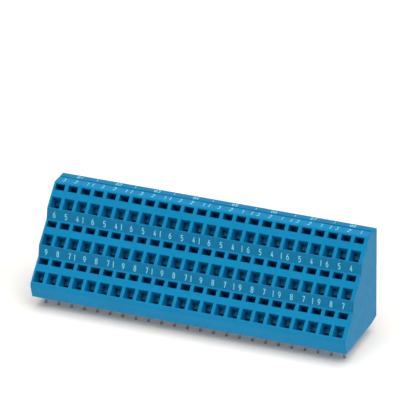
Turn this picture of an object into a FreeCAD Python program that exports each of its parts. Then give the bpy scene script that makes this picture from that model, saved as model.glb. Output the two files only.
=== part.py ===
"""Three-tier spring-clamp terminal block for a printed circuit board.

Identical single-position housing modules stand side by side and an end cover closes the last one.
Each module has three tiers. A tier has a release slot and a tapered wire funnel in its sloped face,
and a pocket behind them that holds a current bar with its solder pin and the cage spring hooked
round that bar. The solder pins of the front row and of the rows behind it are staggered.
Millimetres. X runs along the row, Y from front to back, Z up from the board.
"""
import FreeCAD
import Part

import math
import os

# Row of modules
POSITIONS = 24
PITCH = 5.08
TIER_NAMES = ("bottom", "middle", "top")

# Side outline of a module, measured from its bottom front edge
TIER_RUN = 8.05
TIER_RISE = 11.36
FIRST_EDGE_Y = 6.4
FIRST_EDGE_Z = 13.68
SLOPE_DEGREES = 45.0
FACE_LENGTH = 10.32
NOSE_REACH = 1.35
NOSE_LOW = 4.7
NOSE_HIGH = 6.1
TOP_DEPTH = 7.6
REAR_BEVEL_RUN = 4.6
REAR_BEVEL_RISE = 0.9
GROOVE_FROM_BACK = 2.85
GROOVE_WIDTH = 0.9
GROOVE_DEPTH = 0.3

# Openings in a sloped face, measured down the slope from its upper edge
SLOT_START = 0.63
SLOT_HEIGHT = 2.4
SLOT_WIDTH = 3.7
FUNNEL_START = 5.78
FUNNEL_HEIGHT = 4.25
FUNNEL_WIDTH = 3.8
THROAT_START = 6.3
THROAT_HEIGHT = 3.4
THROAT_WIDTH = 2.7
OPENINGS_OFFSET = 0.08

# Pocket behind the openings; the wall in front of it grows thicker down the slope
SIDE_WALL = 0.7
FRONT_WALL_UPPER = 0.7
FRONT_WALL_LOWER = 5.0
POCKET_START = 0.6
POCKET_END = 10.2
POCKET_DEPTH = 8.0

# Current bar and solder pin; a pin stands at the right side of its bar (1) or at the left side (-1)
BAR_THICKNESS = 0.6
BAR_WIDTH = 2.0
TONGUE_START = 5.3
TONGUE_SETBACK = 0.1
PIN_WIDTH = 0.8
PIN_LENGTH = 4.7
PIN_SIDES = {"bottom": 1, "middle": -1, "top": -1}
PIN_FROM_FIRST_EDGE = 1.1
LEG_CLEARANCE = 0.1

# Cage spring
SPRING_THICKNESS = 0.4
SPRING_BACK = 2.2
SPRING_WIDTH = 3.4
SPRING_DEPTH = 4.5
SPRING_LOOP = 3.2
CLAMP_BAR = 2.0
WINDOW_TRAVEL = 2.0
WINDOW_CLEARANCE = 0.1

# End cover
COVER_THICKNESS = 1.0

# Places worked out from the sizes above
SLOPE = math.radians(SLOPE_DEGREES)
CONTACT_X = PITCH / 2
OPENINGS_X = CONTACT_X + OPENINGS_OFFSET
TONGUE_END = TONGUE_START + BAR_THICKNESS
PIN_Y = FIRST_EDGE_Y - PIN_FROM_FIRST_EDGE
ORIGIN_Y = PIN_Y + TIER_RUN
ORIGIN_X = POSITIONS // 2 * PITCH + SIDE_WALL / 2


def tier_edge(tier):
    """Upper edge of a tier's sloped face, as (y, z)."""
    return FIRST_EDGE_Y + tier * TIER_RUN, FIRST_EDGE_Z + tier * TIER_RISE


def on_tier(tier, down, into):
    """Point a distance down a tier's slope and a distance into the housing, square to the slope."""
    y, z = tier_edge(tier)
    return (
        y + into * math.sin(SLOPE) - down * math.cos(SLOPE),
        z - into * math.cos(SLOPE) - down * math.sin(SLOPE),
    )


def prism(outline, x_start, x_end):
    """Solid with a (y, z) outline that runs along X."""
    corners = [FreeCAD.Vector(x_start, y, z) for y, z in outline]
    face = Part.Face(Part.makePolygon(corners + corners[:1]))
    return face.extrude(FreeCAD.Vector(x_end - x_start, 0, 0))


def block_on_tier(tier, down, into, x_start, x_end):
    """Box whose sides follow a tier's slope; down and into are (start, end) pairs."""
    outline = [
        on_tier(tier, down[0], into[0]),
        on_tier(tier, down[1], into[0]),
        on_tier(tier, down[1], into[1]),
        on_tier(tier, down[0], into[1]),
    ]
    return prism(outline, x_start, x_end)


def side_outline(grooved):
    """Stepped side outline: front foot, nose, the sloped faces with label strips between, top, back."""
    first_y, first_z = tier_edge(0)
    top_y, top_z = tier_edge(len(TIER_NAMES) - 1)
    back_y = top_y + TOP_DEPTH
    points = [
        (0, 0),
        (-NOSE_REACH, NOSE_LOW),
        (first_y - (first_z - NOSE_HIGH) / math.tan(SLOPE), NOSE_HIGH),
        (first_y, first_z),
    ]
    for tier in range(1, len(TIER_NAMES)):
        points += [on_tier(tier, FACE_LENGTH, 0), tier_edge(tier)]
    if grooved:
        groove_back = back_y - GROOVE_FROM_BACK
        points += [
            (groove_back - GROOVE_WIDTH, top_z),
            (groove_back, top_z - GROOVE_DEPTH),
            (groove_back, top_z),
        ]
    points += [
        (back_y, top_z),
        (back_y, REAR_BEVEL_RISE),
        (back_y - REAR_BEVEL_RUN, 0),
    ]
    return points


def front_wall(down):
    """Thickness of the wall in front of the pocket, a distance down the slope."""
    share = (down - POCKET_START) / (POCKET_END - POCKET_START)
    return FRONT_WALL_UPPER + share * (FRONT_WALL_LOWER - FRONT_WALL_UPPER)


def leg_span(tier):
    """Front and back faces of a current bar's leg, as y values."""
    centre = PIN_Y + tier * TIER_RUN
    return centre - BAR_THICKNESS / 2, centre + BAR_THICKNESS / 2


def crossing(tier, y, down=None, into=None):
    """Point at depth y on a line that follows a tier's slope or goes square into it."""
    inward = y - tier_edge(tier)[0]
    if into is None:
        return on_tier(tier, down, (inward + down * math.cos(SLOPE)) / math.sin(SLOPE))
    return on_tier(tier, (into * math.sin(SLOPE) - inward) / math.cos(SLOPE), into)


def pocket(tier):
    """Pocket for one contact, open at the module's right side, with the leg's channel to the underside."""
    leg_front, leg_back = leg_span(tier)
    channel_front = leg_front - LEG_CLEARANCE
    channel_back = leg_back + LEG_CLEARANCE
    outline = [
        on_tier(tier, POCKET_START, FRONT_WALL_UPPER),
        on_tier(tier, POCKET_END, FRONT_WALL_LOWER),
        crossing(tier, channel_front, down=POCKET_END),
        (channel_front, 0),
        (channel_back, 0),
        crossing(tier, channel_back, into=POCKET_DEPTH),
        on_tier(tier, POCKET_START, POCKET_DEPTH),
    ]
    return prism(outline, SIDE_WALL, PITCH)


def release_slot(tier):
    """Straight slot for a screwdriver blade, from the sloped face to the pocket."""
    half = SLOT_WIDTH / 2
    down = (SLOT_START, SLOT_START + SLOT_HEIGHT)
    return block_on_tier(tier, down, (0, FRONT_WALL_LOWER), OPENINGS_X - half, OPENINGS_X + half)


def wire_funnel(tier):
    """Funnel that narrows from its mouth in the sloped face to its throat at the pocket.

    It is a wedge with X along the row, Y into the housing and Z up the slope, leaned over with the slope.
    """
    mouth_half = FUNNEL_WIDTH / 2
    throat_half = THROAT_WIDTH / 2
    wedge = Part.makeWedge(
        -mouth_half, 0, -FUNNEL_START - FUNNEL_HEIGHT, -THROAT_START - THROAT_HEIGHT, -throat_half,
        mouth_half, FRONT_WALL_LOWER, -FUNNEL_START, -THROAT_START, throat_half,
    )
    edge_y, edge_z = tier_edge(tier)
    lean = FreeCAD.Rotation(FreeCAD.Vector(1, 0, 0), SLOPE_DEGREES - 90)
    wedge.Placement = FreeCAD.Placement(FreeCAD.Vector(OPENINGS_X, edge_y, edge_z), lean)
    return wedge


def housing_module():
    """One moulded module: a solid outline less the pockets, slots and funnels of its tiers."""
    body = prism(side_outline(True), 0, PITCH)
    for tier in range(len(TIER_NAMES)):
        body = body.cut([pocket(tier), release_slot(tier), wire_funnel(tier)])
    return body.removeSplitter()


def current_bar(tier):
    """Bent strip: a tongue along the wire, a stop behind the wire's end, and a leg that ends as the pin."""
    stop_face = POCKET_DEPTH - BAR_THICKNESS
    tip = front_wall(TONGUE_END) + TONGUE_SETBACK
    leg_front, leg_back = leg_span(tier)
    leg_front_top = crossing(tier, leg_front, into=stop_face)
    leg_back_top = crossing(tier, leg_back, into=POCKET_DEPTH)
    pin_x = CONTACT_X + PIN_SIDES[TIER_NAMES[tier]] * (BAR_WIDTH - PIN_WIDTH) / 2
    clamp = prism(
        [
            on_tier(tier, TONGUE_START, tip),
            on_tier(tier, TONGUE_END, tip),
            on_tier(tier, TONGUE_END, stop_face),
            leg_front_top,
            leg_back_top,
            on_tier(tier, TONGUE_START, POCKET_DEPTH),
        ],
        CONTACT_X - BAR_WIDTH / 2,
        CONTACT_X + BAR_WIDTH / 2,
    )
    leg = prism(
        [leg_front_top, (leg_front, -PIN_LENGTH), (leg_back, -PIN_LENGTH), leg_back_top],
        pin_x - PIN_WIDTH / 2,
        pin_x + PIN_WIDTH / 2,
    )
    return clamp.fuse(leg).removeSplitter()


def cage_spring(tier):
    """Bent spring strip: a clamping leg whose window holds the tongue, and a leg back against the tongue."""
    near = SPRING_DEPTH
    far = near + SPRING_LOOP
    clamp_end = TONGUE_END + CLAMP_BAR
    run = TONGUE_START - SPRING_BACK
    length = math.hypot(run, SPRING_LOOP)
    bend_inside = SPRING_BACK + SPRING_THICKNESS * (length + run) / SPRING_LOOP
    strip = [
        on_tier(tier, clamp_end, near),
        on_tier(tier, SPRING_BACK, near),
        on_tier(tier, TONGUE_START, far),
        on_tier(tier, TONGUE_START, far - SPRING_THICKNESS * length / run),
        on_tier(tier, bend_inside, near + SPRING_THICKNESS),
        on_tier(tier, clamp_end, near + SPRING_THICKNESS),
    ]
    half_width = SPRING_WIDTH / 2
    half_window = BAR_WIDTH / 2 + WINDOW_CLEARANCE
    window = block_on_tier(
        tier,
        (TONGUE_START - WINDOW_TRAVEL, TONGUE_END),
        (near, near + SPRING_THICKNESS),
        CONTACT_X - half_window,
        CONTACT_X + half_window,
    )
    return prism(strip, CONTACT_X - half_width, CONTACT_X + half_width).cut(window)


def end_cover():
    """Flat plate with the module's outline that closes the open side of the last module."""
    start = POSITIONS * PITCH
    return prism(side_outline(False), start, start + COVER_THICKNESS)


def in_row(shape, position):
    """Copy of a shape at a position of the row, in the part's own frame."""
    return shape.translated(FreeCAD.Vector(position * PITCH - ORIGIN_X, -ORIGIN_Y, 0))


def write(shape, node):
    shape.exportStep(os.path.join("parts", node + ".step"))


os.makedirs("parts", exist_ok=True)
module = housing_module()
for position in range(POSITIONS):
    write(in_row(module, position), f"housing_{position + 1:02d}")
write(in_row(end_cover(), 0), "end_cover")
for tier, name in enumerate(TIER_NAMES):
    for piece, node in ((current_bar(tier), "current_bars"), (cage_spring(tier), "cage_springs")):
        row = [in_row(piece, position) for position in range(POSITIONS)]
        write(Part.makeCompound(row), f"{node}_{name}")
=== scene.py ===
"""Looks of a three-tier spring-clamp terminal block for a printed circuit board.

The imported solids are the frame. Each housing gets rounded edges and a moulded blue finish, the current
bars and springs get their metals, and the position numbers are printed on the strips between the tiers and
on the top.
Metres, in the frame of the solids: X along the row, Y from front to back, Z up from the board.
"""
import math

import bpy
import numpy as np
from bpy.props import FloatProperty, FloatVectorProperty, PointerProperty
from mathutils import Matrix, Vector


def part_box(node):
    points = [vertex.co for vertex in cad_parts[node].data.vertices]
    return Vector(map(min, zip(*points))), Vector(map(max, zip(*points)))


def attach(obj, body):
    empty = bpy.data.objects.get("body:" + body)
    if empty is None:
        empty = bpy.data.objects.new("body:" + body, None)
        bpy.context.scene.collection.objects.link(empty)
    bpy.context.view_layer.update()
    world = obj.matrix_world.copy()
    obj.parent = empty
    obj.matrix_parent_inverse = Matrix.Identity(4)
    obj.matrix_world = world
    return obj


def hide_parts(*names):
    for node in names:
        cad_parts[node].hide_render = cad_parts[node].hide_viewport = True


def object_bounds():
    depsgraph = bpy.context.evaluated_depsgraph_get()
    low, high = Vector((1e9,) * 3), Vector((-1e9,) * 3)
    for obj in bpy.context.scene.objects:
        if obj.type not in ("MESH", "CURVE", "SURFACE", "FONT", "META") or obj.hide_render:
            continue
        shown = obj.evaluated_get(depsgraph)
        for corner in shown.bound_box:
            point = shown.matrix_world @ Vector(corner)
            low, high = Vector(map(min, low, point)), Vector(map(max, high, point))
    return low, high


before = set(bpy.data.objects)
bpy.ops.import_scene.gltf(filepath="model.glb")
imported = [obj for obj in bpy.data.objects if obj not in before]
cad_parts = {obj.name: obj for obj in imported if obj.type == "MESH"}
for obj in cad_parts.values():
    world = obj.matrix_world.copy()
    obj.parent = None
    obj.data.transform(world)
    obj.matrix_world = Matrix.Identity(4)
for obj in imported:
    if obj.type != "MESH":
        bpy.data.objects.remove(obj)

bl_info = {
    "name": "Terminal Block Looks",
    "version": (1, 0, 0),
    "blender": (4, 5, 0),
    "location": "View3D > Sidebar > Terminal Block",
    "description": "Rounds, colours, prints and stages a three-tier terminal block",
    "category": "Object",
}

MM = 0.001
CAD_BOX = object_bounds()

# Row and tiers, read from the frame
BODY = "root"
TIERS = ("bottom", "middle", "top")
HOUSINGS = sorted(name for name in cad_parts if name.startswith("housing_"))
COVER = "end_cover"
ROW_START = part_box(HOUSINGS[0])[0].x
ROW_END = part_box(COVER)[1].x
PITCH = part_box(HOUSINGS[1])[0].x - ROW_START
TIER_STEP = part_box("cage_springs_middle")[0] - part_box("cage_springs_bottom")[0]
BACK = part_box(HOUSINGS[0])[1].y
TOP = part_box(HOUSINGS[0])[1].z

# The housing's stepped side: depth of its top, length and tilt of a tier's face, and how far the top's
# groove lies from the back
TOP_DEPTH = 7.6 * MM
FACE_LENGTH = 10.32 * MM
SLOPE = math.radians(45)
GROOVE = 3.3 * MM

# Printing: three positions share one group of numbers
GROUP = 3
GROUPS = len(HOUSINGS) // GROUP
STRIP_NUMBERS = {"top": "321", "middle": "654", "bottom": "987"}

# A group number's two digits stand this many widths to the left and right of its middle
DIGIT_OFFSET = 0.6

# Printed lines: points on an arc, how far a corner may be drawn out, and the shortest length to divide by
ARC_POINTS = 14
MITRE_LIMIT = 1.7
SHORTEST = 1e-9

# Housing edges: points closer than the first share a place, and an edge whose faces turn by less than the
# second isn't rounded
CLOSE = 0.001 * MM
ROUNDED_TURN = math.radians(20)
ROUNDING_STEPS = 2

# A marking strip's unit normal points forward by more than the first and up by more than the second; these
# strips get a painted shade
STRIP_FORWARD = 0.8
STRIP_UPWARD = 0.05

# Limits between which a noise pattern usually lies
NOISE_LIMITS = (0.3, 0.7)

# Plastic: flow shading, uneven gloss and grain
FLOW_SIZE = 9 * MM
FLOW_SPREAD = 0.04
HAZE_SIZE = 2.5 * MM
HAZE_SPREAD = 0.05
GRAIN_HEIGHT = 0.004 * MM
GRAIN_STRENGTH = 0.5

# Metal: rolling lines, cloudy gloss, and the springs' tempering film
ROLLING_SIZE = 0.3 * MM
ROLLING_STRETCH = (1, 0.15, 0.15)
ROLLING_SPREAD = 0.12
ROLLING_HEIGHT = 0.002 * MM
ROLLING_STRENGTH = 0.4
CLOUD_SIZE = 1.2 * MM
CLOUD_SPREAD = 0.08
BAR_ROUGHNESS = 0.38
SPRING_ROUGHNESS = 0.34
SPRING_FILM = 0.1

# Ink: matt, and a little thin in places
INK_ROUGHNESS = 0.6
INK_GLOSS = 0.2
INK_PATCH = 0.35 * MM
INK_SPREAD = 0.06
INK_HEIGHT = 0.003 * MM
INK_STRENGTH = 0.5


class HousingSettings(bpy.types.PropertyGroup):
    """Sizes and finish of the moulded housings."""

    colour: FloatVectorProperty(
        name="Colour", description="Colour of the moulded plastic", subtype="COLOR", size=3, min=0, max=1,
        default=(0.004, 0.25, 0.50))
    edge_radius: FloatProperty(
        name="Edge radius", description="Rounding of the moulded edges", unit="LENGTH", default=0.14 * MM)
    seam_radius: FloatProperty(
        name="Seam radius", description="Rounding where two modules meet", unit="LENGTH", default=0.03 * MM)
    end_radius: FloatProperty(
        name="End radius", description="Rounding of the outer edges at both ends", unit="LENGTH",
        default=0.22 * MM)
    gloss: FloatProperty(
        name="Gloss", description="Strength of the plastic's reflection", subtype="FACTOR", min=0, max=1,
        default=0.15)
    # Painted shade: the marking strips and the top's rear strip are coloured darker than the rest, standing
    # in for the dimmer light they show
    strip_painted_shade: FloatProperty(
        name="Strip shade", description="Shade of the smooth marking strips against the rest",
        subtype="FACTOR", min=0, max=1, default=0.86)
    cover_gloss: FloatProperty(
        name="Cover gloss", description="Strength of the end cover's reflection", subtype="FACTOR",
        min=0, max=1, default=0.13)
    roughness: FloatProperty(
        name="Roughness", description="Roughness of the moulded plastic", subtype="FACTOR", min=0, max=1,
        default=0.5)
    grain: FloatProperty(
        name="Grain", description="Size of the moulded surface grain", unit="LENGTH", default=0.25 * MM)


class ContactSettings(bpy.types.PropertyGroup):
    """Finish of the current bars and the springs."""

    tin_colour: FloatVectorProperty(
        name="Tin", description="Colour of the tin-plated current bars", subtype="COLOR", size=3,
        min=0, max=1, default=(0.66, 0.65, 0.62))
    # Painted shade: the pins' tips are coloured darker than the tin, standing in for the shadow under the
    # block
    pin_shade_colour: FloatVectorProperty(
        name="Pin tips", description="Colour of the duller tin at the pins' tips", subtype="COLOR", size=3,
        min=0, max=1, default=(0.27, 0.26, 0.25))
    # Painted reflection: the springs' blue tint stands in for the blue housing walls that they reflect
    spring_reflection_colour: FloatVectorProperty(
        name="Spring steel", description="Colour of the blue-tempered cage springs", subtype="COLOR",
        size=3, min=0, max=1, default=(0.1, 0.72, 0.95))


class PrintSettings(bpy.types.PropertyGroup):
    """Sizes and colour of the printed numbers."""

    ink: FloatVectorProperty(
        name="Ink", description="Colour of the print", subtype="COLOR", size=3, min=0, max=1,
        default=(0.33, 0.85, 1.0))
    width: FloatProperty(
        name="Number width", description="Width of a printed number", unit="LENGTH", default=1.05 * MM)
    height: FloatProperty(
        name="Number height", description="Height of a number on a strip", unit="LENGTH", default=2.35 * MM)
    top_height: FloatProperty(
        name="Top number height", description="Length of a number on the top", unit="LENGTH",
        default=2.35 * MM)
    rear_height: FloatProperty(
        name="Group number height", description="Length of a group number on the rear top strip",
        unit="LENGTH", default=1.9 * MM)
    stroke: FloatProperty(
        name="Stroke", description="Width of a printed line", unit="LENGTH", default=0.26 * MM)
    film: FloatProperty(
        name="Film", description="Thickness of the ink above the plastic", unit="LENGTH",
        default=0.015 * MM)
    first: FloatProperty(
        name="First number", description="First number's distance from the row's start", unit="LENGTH",
        default=2.95 * MM)
    spacing: FloatProperty(
        name="Number spacing", description="Spacing of the numbers in a group", unit="LENGTH",
        default=4.65 * MM)
    mark_left: FloatProperty(
        name="Separators left", unit="LENGTH", default=0.9 * MM,
        description="Distance of the row's first separators to the left of the groups' seams")
    mark_right: FloatProperty(
        name="Separators right", unit="LENGTH", default=0.56 * MM,
        description="Distance of the other separators to the right of the groups' seams")
    mark_length: FloatProperty(
        name="Separator length", description="Length of a separator against its row's numbers",
        default=1.12)


class StageSettings(bpy.types.PropertyGroup):
    """Floor, light and camera."""

    floor_colour: FloatVectorProperty(
        name="Floor", description="Colour of the floor", subtype="COLOR", size=3, min=0, max=1,
        default=(0.95, 0.93, 0.9))
    floor_lift: FloatVectorProperty(
        name="Floor lift", description="Light that the camera sees on top of the floor's own shade",
        subtype="COLOR", size=3, min=0, max=1, default=(0.15, 0.125, 0.1))
    floor_size: FloatProperty(
        name="Floor size", description="Side of the square floor", unit="LENGTH", default=8.0)
    sky_strength: FloatProperty(
        name="Sky", description="Strength of the even light from all round", default=0.16)
    room_strength: FloatProperty(
        name="Room", description="Brightness of the dim room in front, as gloss shows it", default=0.12)
    backdrop_start: FloatProperty(
        name="Backdrop start", default=0.0,
        description="Turn to the back at which the dim room gives way to the backdrop")
    backdrop_full: FloatProperty(
        name="Backdrop full", description="Turn to the back at which the backdrop is white", default=0.5)
    key_strength: FloatProperty(
        name="Key light", description="Strength of the soft light from above", default=2.9)
    key_angle: FloatProperty(
        name="Key size", description="Angle that the soft light from above fills", subtype="ANGLE",
        default=math.radians(76))
    key_direction: FloatVectorProperty(
        name="Key direction", description="Direction in which the soft light from above shines",
        subtype="DIRECTION", size=3, default=(-0.16, 0.18, -0.97))
    fill_strength: FloatProperty(
        name="Front fill", description="Brightness of the low strip of light in front, against white",
        default=0.45)
    side_strength: FloatProperty(
        name="Side fill", description="Brightness of the low strip of light beside the end, against white",
        default=0.37)
    fill_width: FloatProperty(
        name="Fill width", description="Width of the low strips of light", unit="LENGTH", default=8 * MM)
    fill_gap: FloatProperty(
        name="Fill gap", description="Gap from the block to the low strips of light", unit="LENGTH",
        default=3 * MM)
    azimuth: FloatProperty(
        name="Azimuth", description="Camera's turn to the right of the front", subtype="ANGLE",
        default=math.radians(22.48))
    elevation: FloatProperty(
        name="Elevation", description="Camera's height above the horizon", subtype="ANGLE",
        default=math.radians(26.89))
    roll: FloatProperty(
        name="Roll", description="Camera's turn about its own axis", subtype="ANGLE",
        default=math.radians(-0.533))
    distance: FloatProperty(
        name="Distance", description="Camera's distance from its target", unit="LENGTH", default=2.186)
    target: FloatVectorProperty(
        name="Target", description="Point in the middle of the picture", unit="LENGTH", size=3,
        default=(0.47 * MM, 2.16 * MM, 41.77 * MM))
    lens: FloatProperty(
        name="Lens", description="Focal length in millimetres on a 36 mm sensor", default=535.29)


class BlockSettings(bpy.types.PropertyGroup):
    """All settings of the terminal block."""

    housing: PointerProperty(type=HousingSettings)
    contact: PointerProperty(type=ContactSettings)
    print: PointerProperty(type=PrintSettings)
    stage: PointerProperty(type=StageSettings)


def new_material(name, **sockets):
    """Principled material with plain socket values; returns the material, its node tree and the shader."""
    material = bpy.data.materials.new(name)
    material.use_nodes = True
    tree = material.node_tree
    shader = tree.nodes["Principled BSDF"]
    for socket, value in sockets.items():
        shader.inputs[socket.replace("_", " ")].default_value = value
    return material, tree, shader


def noise(tree, size, detail=3.0, stretch=(1, 1, 1)):
    """Noise of a size on the piece's own coordinates; a stretch below 1 draws it out along an axis."""
    place = tree.nodes.new("ShaderNodeTexCoord")
    mapping = tree.nodes.new("ShaderNodeMapping")
    mapping.inputs["Scale"].default_value = stretch
    texture = tree.nodes.new("ShaderNodeTexNoise")
    texture.inputs["Scale"].default_value = 1 / size
    texture.inputs["Detail"].default_value = detail
    tree.links.new(place.outputs["Object"], mapping.inputs["Vector"])
    tree.links.new(mapping.outputs["Vector"], texture.inputs["Vector"])
    return texture.outputs["Fac"]


def ramp(tree, factor, low, high):
    """Colours, or greys from numbers, that follow a factor between its usual limits."""
    node = tree.nodes.new("ShaderNodeValToRGB")
    for element, place, value in zip(node.color_ramp.elements, NOISE_LIMITS, (low, high)):
        element.position = place
        element.color = (*value, 1) if hasattr(value, "__len__") else (value, value, value, 1)
    tree.links.new(factor, node.inputs["Fac"])
    return node.outputs["Color"]


def bump(tree, shader, height, distance, strength):
    """Bump from a height pattern."""
    node = tree.nodes.new("ShaderNodeBump")
    node.inputs["Distance"].default_value = distance
    node.inputs["Strength"].default_value = strength
    tree.links.new(height, node.inputs["Height"])
    tree.links.new(node.outputs["Normal"], shader.inputs["Normal"])


def seen_rays(tree):
    """One for rays that show a backdrop, straight or in metal and glass, and zero for rays that light."""
    path = tree.nodes.new("ShaderNodeLightPath")
    seen = path.outputs["Is Camera Ray"]
    for ray in ("Is Glossy Ray", "Is Transmission Ray"):
        either = tree.nodes.new("ShaderNodeMath")
        either.operation = "MAXIMUM"
        tree.links.new(seen, either.inputs[0])
        tree.links.new(path.outputs[ray], either.inputs[1])
        seen = either.outputs[0]
    return seen


def shades(colour, spread):
    """A darker and a lighter shade of a colour."""
    colour = np.array(colour)
    return tuple(colour * (1 - spread)), tuple(np.clip(colour * (1 + spread), 0, 1))


def moulded_plastic(name, gloss, settings, shade=1.0):
    """Blue plastic with faint flow shading, uneven gloss and a fine moulded grain; a shade below one
    darkens its colour as painted shade.
    """
    material, tree, shader = new_material(name, Specular_IOR_Level=gloss)
    darker, lighter = shades(shade * Vector(settings.colour), FLOW_SPREAD)
    tree.links.new(ramp(tree, noise(tree, FLOW_SIZE), darker, lighter), shader.inputs["Base Color"])
    low, high = settings.roughness - HAZE_SPREAD, settings.roughness + HAZE_SPREAD
    tree.links.new(ramp(tree, noise(tree, HAZE_SIZE), low, high), shader.inputs["Roughness"])
    bump(tree, shader, noise(tree, settings.grain, detail=2.0), GRAIN_HEIGHT, GRAIN_STRENGTH)
    return material


def rolled_metal(name, colour, roughness, below=None, film=0.0):
    """Strip metal with fine rolling lines along its length and a cloudy gloss.

    It may pass into a darker colour at the pins' tips, as painted shade, and have a film that scatters a
    share of the light.
    """
    material, tree, shader = new_material(name, Metallic=1 - film)
    lines = noise(tree, ROLLING_SIZE, detail=4.0, stretch=ROLLING_STRETCH)
    tint = ramp(tree, lines, *shades(colour, ROLLING_SPREAD))
    if below is not None:
        tint = painted_pin_shade(tree, tint, ramp(tree, lines, *shades(below, ROLLING_SPREAD)))
    tree.links.new(tint, shader.inputs["Base Color"])
    low, high = roughness - CLOUD_SPREAD, roughness + CLOUD_SPREAD
    tree.links.new(ramp(tree, noise(tree, CLOUD_SIZE), low, high), shader.inputs["Roughness"])
    bump(tree, shader, lines, ROLLING_HEIGHT, ROLLING_STRENGTH)
    return material


def painted_pin_shade(tree, above, below):
    """Painted shade: one colour at the pins' tips that passes evenly into another on the way up to the
    board, standing in for the shadow under the block.
    """
    place = tree.nodes.new("ShaderNodeTexCoord")
    split = tree.nodes.new("ShaderNodeSeparateXYZ")
    height = tree.nodes.new("ShaderNodeMapRange")
    height.inputs["From Min"].default_value = CAD_BOX[0].z
    height.inputs["From Max"].default_value = 0.0
    mix = tree.nodes.new("ShaderNodeMixRGB")
    tree.links.new(place.outputs["Object"], split.inputs[0])
    tree.links.new(split.outputs["Z"], height.inputs["Value"])
    tree.links.new(height.outputs[0], mix.inputs["Fac"])
    tree.links.new(below, mix.inputs["Color1"])
    tree.links.new(above, mix.inputs["Color2"])
    return mix.outputs["Color"]


def printing_ink(settings):
    """Pale screen-printing ink, a little thin in places."""
    finish = {"Roughness": INK_ROUGHNESS, "Specular_IOR_Level": INK_GLOSS}
    material, tree, shader = new_material("printing_ink", **finish)
    cover = noise(tree, INK_PATCH, detail=4.0)
    tree.links.new(ramp(tree, cover, *shades(settings.ink, INK_SPREAD)), shader.inputs["Base Color"])
    bump(tree, shader, cover, INK_HEIGHT, INK_STRENGTH)
    return material


def new_piece(name, vertices, faces, material):
    """Mesh object at the origin, from whole arrays, that rides on the block."""
    mesh = bpy.data.meshes.new(name)
    mesh.from_pydata(vertices, [], faces)
    mesh.materials.append(material)
    piece = bpy.data.objects.new(name, mesh)
    bpy.context.scene.collection.objects.link(piece)
    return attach(piece, BODY)


def solid_arrays(node):
    """Corners and triangles of a node's solid, with the corners that its loose triangles share merged."""
    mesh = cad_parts[node].data
    corners = np.empty(3 * len(mesh.vertices), np.float32)
    mesh.vertices.foreach_get("co", corners)
    loops = np.empty(len(mesh.loops), np.int32)
    mesh.loops.foreach_get("vertex_index", loops)
    points, index = np.unique(corners.reshape(-1, 3), axis=0, return_inverse=True)
    return points, index.reshape(-1)[loops].reshape(-1, 3)


def face_normals(points, triangles):
    """Unit normals of triangles: the cross product of two sides, over its length."""
    a, b, c = (points[triangles[:, i]] for i in range(3))
    normals = np.cross(b - a, c - a)
    return normals / np.linalg.norm(normals, axis=1, keepdims=True)


def edge_turns(points, triangles):
    """Edge keys of a closed solid, sorted, and the cosine of the turn between each edge's two faces.

    An edge's key is its lower corner number times the number of corners, plus its higher corner number.
    """
    normals = face_normals(points, triangles)
    ends = np.sort(np.concatenate([triangles[:, [i, (i + 1) % 3]] for i in range(3)]), axis=1)
    keys = ends[:, 0] * len(points) + ends[:, 1]
    order = np.argsort(keys, kind="stable").reshape(-1, 2)
    first, second = normals[order[:, 0] % len(triangles)], normals[order[:, 1] % len(triangles)]
    return keys[order[:, 0]], np.einsum("ij,ij->i", first, second)


def painted_strip_shade_faces(points, triangles):
    """True for the triangles on the strips between the tiers and on the top behind its groove, which get a
    painted shade.

    A strip between tiers faces forward and a little up, above the lowest tier's upper edge.
    """
    normals = face_normals(points, triangles)
    middle = points[triangles].mean(axis=1)
    facing = (normals[:, 1] < -STRIP_FORWARD) & (normals[:, 2] > STRIP_UPWARD)
    between = facing & (middle[:, 2] > tier_corner(0, 0)[2])
    rear = near(middle[:, 2], TOP) & (middle[:, 1] > BACK - GROOVE)
    return between | rear


def near(values, place):
    """True for the values that lie at a place."""
    return np.isclose(values, place, atol=CLOSE)


def edge_radii(along, node, settings):
    """Radius of each edge from the distances of its two ends along the row.

    An edge in an end face of the row gets the end radius, one in a module's side face the seam radius, and
    any other the edge radius.
    """
    low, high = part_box(node)
    start, end = along.T
    flat = near(start, end)
    outer = flat & (near(start, ROW_START) | near(start, ROW_END))
    seam = flat & ~outer & (near(start, low.x) | near(start, high.x))
    return np.select([outer, seam], [settings.end_radius, settings.seam_radius], settings.edge_radius)


def rounded_housing(node, settings, material, painted_shade_material):
    """Copy of a housing's solid with its sharp edges rounded, least where modules meet.

    An edge's bevel weight is its radius over the end radius, which is the bevel's own width.
    """
    points, triangles = solid_arrays(node)
    piece = new_piece(node + "_moulding", points, triangles, material)
    mesh = piece.data
    # The marking strips get the second material, whose darker colour is painted shade
    mesh.materials.append(painted_shade_material)
    mesh.polygons.foreach_set("material_index", painted_strip_shade_faces(points, triangles).astype(np.int32))
    ends = np.empty(2 * len(mesh.edges), np.int32)
    mesh.edges.foreach_get("vertices", ends)
    ends = np.sort(ends.reshape(-1, 2), axis=1).astype(np.int64)
    keys, cosine = edge_turns(points, triangles.astype(np.int64))
    cosine = cosine[np.searchsorted(keys, ends[:, 0] * len(points) + ends[:, 1])]
    radius = edge_radii(points[ends, 0], node, settings)
    weight = np.where(cosine < math.cos(ROUNDED_TURN), radius / settings.end_radius, 0).astype(np.float32)
    mesh.attributes.new("bevel_weight_edge", "FLOAT", "EDGE").data.foreach_set("value", weight)
    rounding = piece.modifiers.new("rounded_edges", "BEVEL")
    rounding.limit_method = "WEIGHT"
    rounding.width = settings.end_radius
    rounding.segments = ROUNDING_STEPS
    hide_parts(node)
    return piece


def arc(x, y, wide, tall, start, end):
    """Points on an ellipse about (x, y) from one angle to another, in degrees."""
    angle = np.radians(np.linspace(start, end, ARC_POINTS))
    return np.column_stack((x + wide * np.cos(angle), y + tall * np.sin(angle)))


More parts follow.
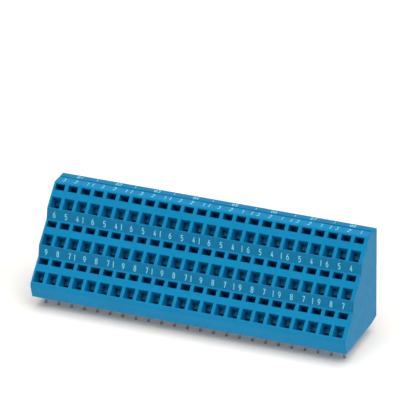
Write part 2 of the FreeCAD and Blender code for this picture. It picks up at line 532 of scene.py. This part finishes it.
def number_lines(character):
    """Centre lines of a plain number or bar, in a box from -0.5 to 0.5 each way."""
    six = np.concatenate((arc(0.5, -0.17, 1.0, 0.67, 100, 180), arc(0, -0.19, 0.5, 0.31, 180, 540)[1:]))
    lines = {
        "0": [arc(0, 0, 0.5, 0.5, 90, 450)],
        "1": [np.array([(-0.3, 0.25), (0.1, 0.5), (0.1, -0.5)])],
        "2": [np.concatenate((arc(0, 0.21, 0.5, 0.29, 165, -25), [(-0.5, -0.5), (0.5, -0.5)]))],
        "3": [arc(-0.05, 0.26, 0.5, 0.24, 150, -90), arc(-0.05, -0.24, 0.55, 0.26, 90, -150)],
        "4": [np.array([(0.1, 0.5), (-0.5, -0.22), (0.5, -0.22)]), np.array([(0.2, 0.1), (0.2, -0.5)])],
        "5": [np.concatenate(([(0.45, 0.5), (-0.4, 0.5), (-0.42, 0.06)],
                              arc(-0.02, -0.18, 0.5, 0.32, 135, -145)))],
        "6": [six],
        "7": [np.array([(-0.5, 0.5), (0.5, 0.5), (-0.1, -0.5)])],
        "8": [arc(0, 0.26, 0.44, 0.24, -90, 270), arc(0, -0.24, 0.5, 0.26, 90, 450)],
        "9": [-six],
        "|": [np.array([(0, 0.5), (0, -0.5)])],
    }
    return lines[character]


def ink_line(path, stroke, base, top):
    """A flat strip of ink: a rectangle of the stroke's width and the film's height carried along a path.

    At each point the strip's sides stand half a stroke to the left and right, drawn out at corners by one
    over the cosine of half the turn. Returns the corners as (along, up, out) and the faces.
    """
    run = np.diff(path, axis=0)
    run /= np.linalg.norm(run, axis=1, keepdims=True)
    left = np.column_stack((-run[:, 1], run[:, 0]))
    before, after = np.vstack((left[:1], left)), np.vstack((left, left[-1:]))
    middle = before + after
    middle /= np.maximum(np.linalg.norm(middle, axis=1, keepdims=True), SHORTEST)
    reach = 1 / np.maximum(np.einsum("ij,ij->i", middle, before), 1 / MITRE_LIMIT)
    side = middle * (reach * stroke / 2)[:, None]
    count = len(path)
    corners = np.empty((count, 4, 3))
    corners[:, 0, :2] = corners[:, 1, :2] = path + side
    corners[:, 2, :2] = corners[:, 3, :2] = path - side
    corners[:, (0, 3), 2] = base
    corners[:, (1, 2), 2] = top
    section = np.arange(4)
    start = 4 * np.arange(count - 1)[:, None]
    corner, following = start + section, start + (section + 1) % 4
    walls = np.stack((corner, following, following + 4, corner + 4), axis=-1)
    caps = np.array([section[::-1], 4 * (count - 1) + section])
    return corners.reshape(-1, 3), np.concatenate((walls.reshape(-1, 4), caps))


def printed_row(name, origin, up, characters, settings, material):
    """One row of print on a flat strip.

    characters holds (character, distance along the row, width, height); up is the strip's upward direction.
    """
    across, up = np.array((1.0, 0.0, 0.0)), np.array(up)
    out = np.cross(across, up)
    vertices, faces, total = [], [], 0
    for character, place, width, height in characters:
        size = np.array((width, height)) - settings.stroke
        for line in number_lines(character):
            corners, walls = ink_line(line * size, settings.stroke, -settings.film, settings.film)
            corners[:, 0] += place
            vertices.append(corners)
            faces.append(walls + total)
            total += len(corners)
    corners = np.concatenate(vertices)
    points = np.array(origin) + corners @ np.stack((across, up, out))
    return new_piece(name, points, np.concatenate(faces), material)


def tier_corner(tier, down):
    """Point a distance down a tier's sloped face from its upper edge, at the row's start.

    Each tier under the top one lies one step further to the front and down.
    """
    steps = len(TIERS) - 1 - tier
    y = BACK - TOP_DEPTH - steps * TIER_STEP.y - down * math.cos(SLOPE)
    z = TOP - steps * TIER_STEP.z - down * math.sin(SLOPE)
    return np.array((ROW_START, y, z))


def group_numbers(settings):
    """Each group's own number, in two digits about the middle of the group."""
    row = []
    for group in range(GROUPS):
        middle = settings.first + settings.spacing + group * GROUP * PITCH
        for digit, side in zip(f"{group + 1:02d}", (-DIGIT_OFFSET, DIGIT_OFFSET)):
            row.append((digit, middle + side * settings.width, settings.width, settings.rear_height))
    return row


def separators(height, settings):
    """Bars between a row's groups: left of the seams in its first half, and right of them in its second."""
    seams = np.arange(1, GROUPS)
    shift = np.where(seams <= GROUPS // 2, -settings.mark_left, settings.mark_right)
    places = seams * GROUP * PITCH + shift
    return [("|", place, settings.width, settings.mark_length * height) for place in places]


def numbered_row(numbers, height, settings):
    """A row's position numbers in groups, with a bar between the groups."""
    row = separators(height, settings)
    for group in range(GROUPS):
        start = settings.first + group * GROUP * PITCH
        row += [(n, start + i * settings.spacing, settings.width, height) for i, n in enumerate(numbers)]
    return row


class BLOCK_OT_housings(bpy.types.Operator):
    """Round and colour the housing modules and the end cover, with a painted shade on the marking strips"""

    bl_idname = "terminal_block.housings"
    bl_label = "Housings"

    def execute(self, context):
        settings = context.scene.terminal_block.housing
        plastic = moulded_plastic("module_plastic", settings.gloss, settings)
        strip = moulded_plastic("strip_plastic_painted_shade", settings.gloss, settings, settings.strip_painted_shade)
        for node in HOUSINGS:
            rounded_housing(node, settings, plastic, strip)
        cover = moulded_plastic("cover_plastic", settings.cover_gloss, settings)
        rounded_housing(COVER, settings, cover, strip)
        return {"FINISHED"}


class BLOCK_OT_contacts(bpy.types.Operator):
    """Give the current bars and the cage springs their metals, with a painted shade at the pins' tips and a
    painted blue reflection on the springs
    """

    bl_idname = "terminal_block.contacts"
    bl_label = "Contacts"

    def execute(self, context):
        settings = context.scene.terminal_block.contact
        tin = rolled_metal("tinned_bar_shaded_pins", settings.tin_colour, BAR_ROUGHNESS, below=settings.pin_shade_colour)
        steel = rolled_metal("spring_steel", settings.spring_reflection_colour, SPRING_ROUGHNESS, film=SPRING_FILM)
        for prefix, metal in (("current_bars_", tin), ("cage_springs_", steel)):
            for tier in TIERS:
                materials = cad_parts[prefix + tier].data.materials
                materials.clear()
                materials.append(metal)
        return {"FINISHED"}


class BLOCK_OT_print(bpy.types.Operator):
    """Print the position numbers on the strips and the top"""

    bl_idname = "terminal_block.print_numbers"
    bl_label = "Print"

    # The two rows on the top lie this far in front of the back edge
    front_row = 5.3 * MM
    rear_row = 1.5 * MM
    # A row on a strip lies this far below the strip's middle
    drop = 0.35 * MM
    # Height that the rear row's separators go by
    rear_mark = 1.2 * MM

    def execute(self, context):
        settings = context.scene.terminal_block.print
        ink = printing_ink(settings)
        # A strip lies between a tier's face and the next tier below, whose numbers it carries
        for tier, name in ((2, "middle"), (1, "bottom")):
            upper, lower = tier_corner(tier, FACE_LENGTH), tier_corner(tier - 1, 0)
            up = (upper - lower) / np.linalg.norm(upper - lower)
            row = numbered_row(STRIP_NUMBERS[name], settings.height, settings)
            printed_row(f"print_{name}_tier", (upper + lower) / 2 - self.drop * up, up, row, settings, ink)
        to_back = (0, 1, 0)
        row = numbered_row(STRIP_NUMBERS["top"], settings.top_height, settings)
        printed_row("print_top_tier", (ROW_START, BACK - self.front_row, TOP), to_back, row, settings, ink)
        row = group_numbers(settings) + separators(self.rear_mark, settings)
        printed_row("print_groups", (ROW_START, BACK - self.rear_row, TOP), to_back, row, settings, ink)
        return {"FINISHED"}


class BLOCK_OT_stage(bpy.types.Operator):
    """Set the floor, the light and the camera"""

    bl_idname = "terminal_block.stage"
    bl_label = "Stage"

    # Height of the low strips of light above the floor
    fill_height = 0.1 * MM
    floor_roughness = 0.9
    # Furthest distance in metres that the camera sees
    sight = 20

    def execute(self, context):
        settings = context.scene.terminal_block.stage
        self.floor(settings)
        self.light(context.scene, settings)
        self.camera(context.scene, settings)
        context.scene.view_settings.view_transform = "Standard"
        return {"FINISHED"}

    def floor(self, settings):
        """A square floor under the pins, as white as the backdrop away from the shadow."""
        half = settings.floor_size / 2
        corners = np.array([(-half, -half), (half, -half), (half, half), (-half, half)])
        mesh = bpy.data.meshes.new("floor")
        mesh.from_pydata(np.column_stack((corners, np.full(4, CAD_BOX[0].z))), [], [(0, 1, 2, 3)])
        finish = {"Roughness": self.floor_roughness, "Specular_IOR_Level": 0.0}
        material, tree, shader = new_material("pale_floor", **finish)
        shader.inputs["Base Color"].default_value = (*settings.floor_colour, 1)
        shader.inputs["Emission Color"].default_value = (*settings.floor_lift, 1)
        tree.links.new(seen_rays(tree), shader.inputs["Emission Strength"])
        mesh.materials.append(material)
        piece = bpy.data.objects.new("floor", mesh)
        bpy.context.scene.collection.objects.link(piece)

    def studio(self, settings):
        """World with even light from all round and, for rays that show it, a dim room and a white backdrop.

        The room passes evenly into the backdrop as a ray's direction turns to the back.
        """
        world = bpy.data.worlds.new("studio")
        world.use_nodes = True
        tree = world.node_tree
        sky = tree.nodes["Background"]
        sky.inputs["Strength"].default_value = settings.sky_strength
        sky.inputs["Color"].default_value = (1, 1, 1, 1)
        backdrop = tree.nodes.new("ShaderNodeBackground")
        backdrop.inputs["Color"].default_value = (1, 1, 1, 1)
        place = tree.nodes.new("ShaderNodeTexCoord")
        split = tree.nodes.new("ShaderNodeSeparateXYZ")
        fade = tree.nodes.new("ShaderNodeMapRange")
        fade.inputs["From Min"].default_value = settings.backdrop_start
        fade.inputs["From Max"].default_value = settings.backdrop_full
        fade.inputs["To Min"].default_value = settings.room_strength
        tree.links.new(place.outputs["Generated"], split.inputs[0])
        tree.links.new(split.outputs["Y"], fade.inputs["Value"])
        tree.links.new(fade.outputs[0], backdrop.inputs["Strength"])
        mix = tree.nodes.new("ShaderNodeMixShader")
        tree.links.new(seen_rays(tree), mix.inputs[0])
        tree.links.new(sky.outputs[0], mix.inputs[1])
        tree.links.new(backdrop.outputs[0], mix.inputs[2])
        tree.links.new(mix.outputs[0], tree.nodes["World Output"].inputs["Surface"])
        return world

    def light(self, scene, settings):
        """The studio, a large soft light above, and low strips of light in front and beside the end."""
        scene.world = self.studio(settings)
        key = bpy.data.objects.new("key_light", bpy.data.lights.new("key_light", "SUN"))
        key.data.energy = settings.key_strength
        key.data.angle = settings.key_angle
        key.visible_glossy = False
        key.rotation_euler = Vector(settings.key_direction).to_track_quat("-Z", "Y").to_euler()
        scene.collection.objects.link(key)
        middle = (CAD_BOX[0] + CAD_BOX[1]) / 2
        reach = settings.fill_gap + settings.fill_width / 2
        front, side = (middle.x, CAD_BOX[0].y - reach), (ROW_END + reach, middle.y)
        long, deep = ROW_END - ROW_START, BACK - CAD_BOX[0].y
        self.low_fill(scene, "front_fill", front, (long, settings.fill_width), settings.fill_strength)
        self.low_fill(scene, "side_fill", side, (settings.fill_width, deep), settings.side_strength)

    def low_fill(self, scene, name, centre, size, strength):
        """A strip of light just above the floor that shines up at the block, out of the camera's sight."""
        strip = bpy.data.lights.new(name, "AREA")
        strip.shape = "RECTANGLE"
        strip.size, strip.size_y = size
        # An area lamp's watts are four times its brightness times its area
        strip.energy = 4 * strength * strip.size * strip.size_y
        fill = bpy.data.objects.new(name, strip)
        fill.location = (*centre, CAD_BOX[0].z + self.fill_height)
        fill.rotation_euler = (math.pi, 0, 0)
        fill.visible_camera = fill.visible_glossy = False
        scene.collection.objects.link(fill)

    def camera(self, scene, settings):
        """A long lens at the photograph's viewing angle."""
        camera = bpy.data.objects.new("camera", bpy.data.cameras.new("camera"))
        camera.data.lens = settings.lens
        camera.data.clip_end = self.sight
        flat = math.cos(settings.elevation)
        back = Vector((math.sin(settings.azimuth) * flat, -math.cos(settings.azimuth) * flat,
                       math.sin(settings.elevation)))
        turn = (-back).to_track_quat("-Z", "Y").to_matrix() @ Matrix.Rotation(settings.roll, 3, "Z")
        place = Vector(settings.target) + back * settings.distance
        camera.matrix_world = Matrix.Translation(place) @ turn.to_4x4()
        scene.collection.objects.link(camera)
        scene.camera = camera


class BLOCK_PT_panel(bpy.types.Panel):
    """Settings and steps of the terminal block"""

    bl_idname = "BLOCK_PT_panel"
    bl_label = "Terminal Block"
    bl_space_type = "VIEW_3D"
    bl_region_type = "UI"
    bl_category = "Terminal Block"

    def draw(self, context):
        settings = context.scene.terminal_block
        groups = (settings.housing, settings.contact, settings.print, settings.stage)
        for group, operator in zip(groups, STEPS):
            box = self.layout.box()
            for name in group.__annotations__:
                box.prop(group, name)
            box.operator(operator.bl_idname)


STEPS = (BLOCK_OT_housings, BLOCK_OT_contacts, BLOCK_OT_print, BLOCK_OT_stage)
GROUPS_OF_SETTINGS = (HousingSettings, ContactSettings, PrintSettings, StageSettings, BlockSettings)
CLASSES = (*GROUPS_OF_SETTINGS, *STEPS, BLOCK_PT_panel)


def register():
    for cls in CLASSES:
        bpy.utils.register_class(cls)
    bpy.types.Scene.terminal_block = PointerProperty(type=BlockSettings)


def unregister():
    del bpy.types.Scene.terminal_block
    for cls in reversed(CLASSES):
        bpy.utils.unregister_class(cls)


def main():
    register()
    bpy.ops.terminal_block.housings()
    bpy.ops.terminal_block.contacts()
    bpy.ops.terminal_block.print_numbers()
    bpy.ops.terminal_block.stage()


if __name__ == "__main__":
    main()
